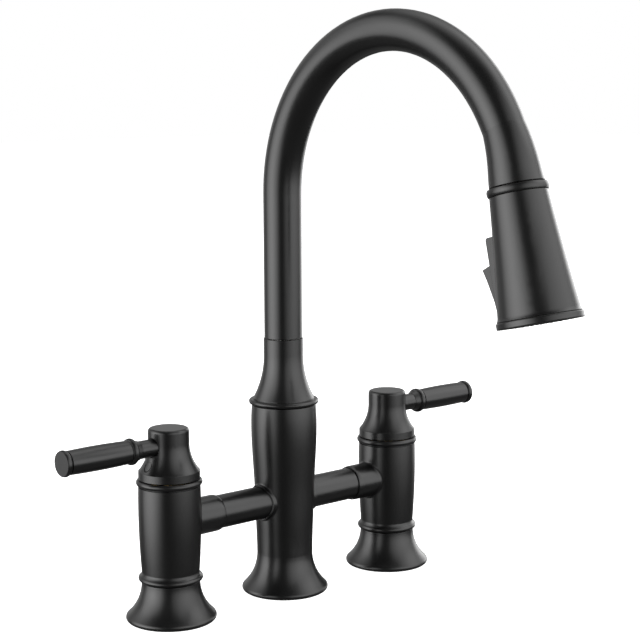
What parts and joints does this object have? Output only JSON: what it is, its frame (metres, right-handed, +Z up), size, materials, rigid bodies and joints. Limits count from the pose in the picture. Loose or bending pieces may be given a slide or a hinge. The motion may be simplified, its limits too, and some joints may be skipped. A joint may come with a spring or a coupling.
{
  "type": "bridge kitchen faucet",
  "caption": "Satin black bridge kitchen faucet with lever valves on a raised bridge, a swivelling gooseneck spout and a pull-down spray wand.",
  "frame": {"origin": "axis of the centre post at the plane of the deck, where the foot gaskets rest", "axes": "+Z up along the centre post; +X from the hot valve to the cold valve; the spout at rest reaches along -Y, over the sink"},
  "size_m": [0.373, 0.2982, 0.4111],
  "materials": {
    "black_metal": "satin",
    "black_plastic": "satin",
    "dark_plastic": "satin",
    "white_plastic": "satin",
    "ceramic": "polished",
    "brass": "machined",
    "stainless": "machined",
    "magnet": "plated",
    "rubber": "matt",
    "hose_braid": "braided nylon"
  },
  "bodies": {
    "base": {"center_post": "black_metal", "foot_gaskets": "rubber", "waterway_insert": "dark_plastic", "post_orings": "rubber", "neck": "black_metal", "spout_bushings": "white_plastic", "bridge_orings": "rubber", "left_bridge_tube": "black_metal", "right_bridge_tube": "black_metal", "left_valve_body": "black_metal", "right_valve_body": "black_metal", "left_foot": "black_metal", "right_foot": "black_metal", "trim_rings": "black_metal", "left_cartridge": "white_plastic", "right_cartridge": "white_plastic", "fixed_discs": "ceramic", "seat_seals": "rubber", "cartridge_orings": "rubber", "bonnet_nuts": "brass"},
    "spout": {"spout_tube": "black_metal", "spout_clip": "stainless", "dock_sleeve": "dark_plastic", "dock_magnet": "magnet", "hose": "hose_braid", "hose_tail_ferrule": "stainless", "outlet_hose": "hose_braid"},
    "hose_end": {"hose_connector": "stainless"},
    "wand": {"wand_inlet": "black_plastic", "wand_top_ring": "black_plastic", "wand_strike_ring": "stainless", "wand_shell": "black_plastic", "wand_core": "dark_plastic", "check_valve": "white_plastic", "nozzle_mat": "rubber", "spray_face": "black_plastic", "aerator": "dark_plastic", "wand_rim": "black_plastic", "control_frame": "black_plastic", "trigger_pin": "stainless", "button_spring": "stainless", "trigger_spring": "stainless"},
    "button": {"spray_button": "black_plastic"},
    "trigger": {"pause_trigger": "black_plastic"},
    "diverter": {"diverter_spool": "white_plastic"},
    "left_handle": {"left_cartridge_stem": "brass", "left_moving_disc": "ceramic", "left_handle_hub": "black_metal", "left_set_screw": "black_metal", "left_lever_rod": "black_metal", "left_lever_grip": "black_metal", "left_lever_end_cap": "black_metal"},
    "right_handle": {"right_cartridge_stem": "brass", "right_moving_disc": "ceramic", "right_handle_hub": "black_metal", "right_set_screw": "black_metal", "right_lever_rod": "black_metal", "right_lever_grip": "black_metal", "right_lever_end_cap": "black_metal"}
  },
  "joints": [
    {"name": "spout_swivel", "type": "hinge", "parent": "base", "child": "spout", "pos_m": [0, 0, 0.1849], "axis": [0, 0, 1], "continuous": true},
    {"name": "wand_pull", "type": "slide", "parent": "spout", "child": "hose_end", "axis": [0, -0.2436, -0.9699], "range_m": [0, 0.2], "stiffness_N_per_m": 8, "springref_m": -0.5, "deforming": ["outlet_hose"]},
    {"name": "wand_swivel", "type": "hinge", "parent": "hose_end", "child": "wand", "pos_m": [0, -0.22089, 0.30227], "axis": [0, -0.2436, -0.9699], "continuous": true},
    {"name": "button_press", "type": "slide", "parent": "wand", "child": "button", "axis": [0, -0.9699, 0.2436], "range_m": [0, 0.0015], "stiffness_N_per_m": 400, "springref_m": -0.002, "deforming": ["button_spring"]},
    {"name": "trigger_squeeze", "type": "hinge", "parent": "wand", "child": "trigger", "pos_m": [0, -0.21598, 0.22824], "axis": [1, 0, 0], "range_deg": [0, 8], "stiffness_Nm_per_rad": 0.4, "springref_deg": -5.73, "deforming": ["trigger_spring"]},
    {"name": "diverter_shift", "type": "slide", "parent": "wand", "child": "diverter", "axis": [0, -0.2436, -0.9699], "range_m": [0, 0.003]},
    {"name": "left_handle_turn", "type": "hinge", "parent": "base", "child": "left_handle", "pos_m": [-0.1016, 0, 0.099], "axis": [0, 0, 1], "range_deg": [0, 90]},
    {"name": "right_handle_turn", "type": "hinge", "parent": "base", "child": "right_handle", "pos_m": [0.1016, 0, 0.099], "axis": [0, 0, 1], "range_deg": [-90, 0]}
  ],
  "couplings": [
    {"joint": "diverter_shift", "follows": "trigger_squeeze", "m_per_rad": 0.0214}
  ]
}
